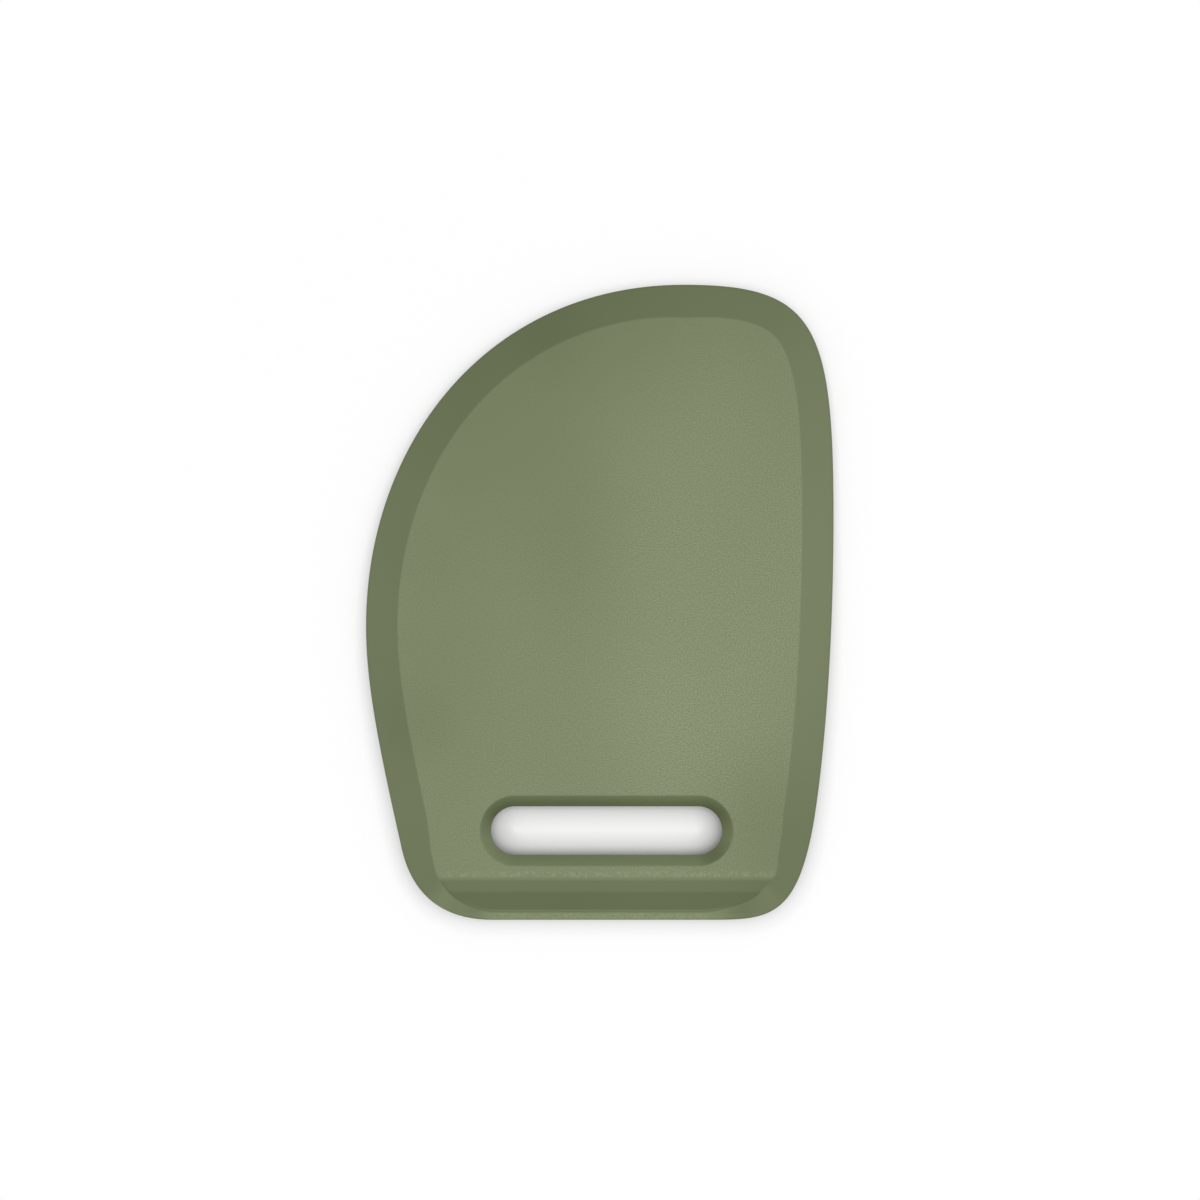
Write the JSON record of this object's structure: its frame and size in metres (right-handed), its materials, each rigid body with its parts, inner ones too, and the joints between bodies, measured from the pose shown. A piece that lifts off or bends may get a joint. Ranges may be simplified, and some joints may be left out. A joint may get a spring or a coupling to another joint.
{
  "type": "dough scraper",
  "caption": "Flat hand-held dough scraper: soft olive silicone jacket over a stiff hidden core plate, bevelled curved edge, straight ramped blade and a long finger slot.",
  "frame": {"origin": "middle of the bounding box in plan, on the flat back face that it lies on", "axes": "+Z out of the front face, +Y from the straight blade towards the curved end, +X to the right seen from the front"},
  "size_m": [0.1178, 0.16, 0.007],
  "materials": {
    "silicone": "matt moulded silicone, olive green, fine grain on the flat faces and smooth bevels",
    "core_nylon": "glass-filled nylon, dark grey, moulded"
  },
  "bodies": {
    "root": {"silicone_jacket": "silicone", "core_plate": "core_nylon"}
  },
  "joints": []
}
